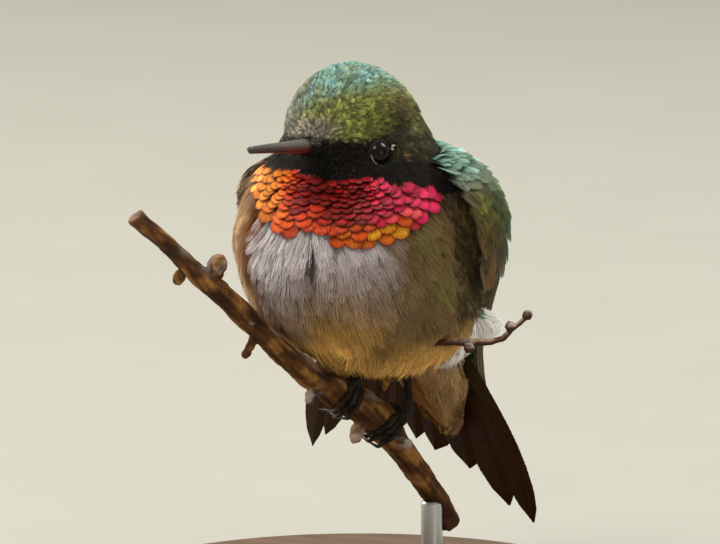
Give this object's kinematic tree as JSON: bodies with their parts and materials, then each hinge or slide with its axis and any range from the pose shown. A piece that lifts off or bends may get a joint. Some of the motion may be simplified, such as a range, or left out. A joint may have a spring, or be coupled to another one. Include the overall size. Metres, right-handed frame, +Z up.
{
  "type": "male ruby-throated hummingbird on a perch",
  "caption": "Life-size male ruby-throated hummingbird, fluffed and perched on a cut branch, on a plain round display stand.",
  "frame": {"origin": "centre of the stand base's underside", "axes": "+Z up, the bird faces -Y and its left side is towards +X"},
  "size_m": [0.054, 0.0566, 0.0578],
  "materials": {
    "crown_feathers": "glossy iridescent green feathers",
    "gorget_feathers": "iridescent ruby-red to orange scale-like feathers",
    "back_feathers": "iridescent green feathers",
    "breast_feathers": "soft grey-white feathers",
    "belly_feathers": "soft buff-brown feathers",
    "undertail_feathers": "soft buff-white feathers",
    "tuft_feathers": "loose white down",
    "flight_feathers": "dusky smooth vanes",
    "tail_feathers": "black-brown smooth vanes",
    "bill": "satin black horn",
    "eye": "wet gloss",
    "leg_skin": "fine scaled dark skin",
    "claw": "satin black horn",
    "bark": "rough bark",
    "stand_wood": "satin dark stained wood",
    "stand_steel": "brushed"
  },
  "bodies": {
    "root": {"back": "back_feathers", "belly": "belly_feathers", "bill_lower": "bill", "bill_upper": "bill", "breast": "breast_feathers", "claw_left_hind": "claw", "claw_left_inner": "claw", "claw_left_middle": "claw", "claw_left_outer": "claw", "claw_right_hind": "claw", "claw_right_inner": "claw", "claw_right_middle": "claw", "claw_right_outer": "claw", "eye_left": "eye", "eye_right": "eye", "flank_tuft_left": "tuft_feathers", "flank_tuft_right": "tuft_feathers", "head": "crown_feathers", "leg_left": "leg_skin", "leg_right": "leg_skin", "neck": "back_feathers", "perch_branch": "bark", "perch_twig": "bark", "stand_base": "stand_wood", "stand_rod": "stand_steel", "tail_feather_left_1": "tail_feathers", "tail_feather_left_2": "tail_feathers", "tail_feather_left_3": "tail_feathers", "tail_feather_left_4": "tail_feathers", "tail_feather_left_5": "tail_feathers", "tail_feather_right_1": "tail_feathers", "tail_feather_right_2": "tail_feathers", "tail_feather_right_3": "tail_feathers", "tail_feather_right_4": "tail_feathers", "tail_feather_right_5": "tail_feathers", "throat_gorget": "gorget_feathers", "toe_left_hind": "leg_skin", "toe_left_inner": "leg_skin", "toe_left_middle": "leg_skin", "toe_left_outer": "leg_skin", "toe_right_hind": "leg_skin", "toe_right_inner": "leg_skin", "toe_right_middle": "leg_skin", "toe_right_outer": "leg_skin", "undertail_coverts": "undertail_feathers", "uppertail_coverts": "back_feathers", "wing_left_coverts": "back_feathers", "wing_left_primaries": "flight_feathers", "wing_left_secondaries": "flight_feathers", "wing_right_coverts": "back_feathers", "wing_right_primaries": "flight_feathers", "wing_right_secondaries": "flight_feathers"}
  },
  "joints": []
}
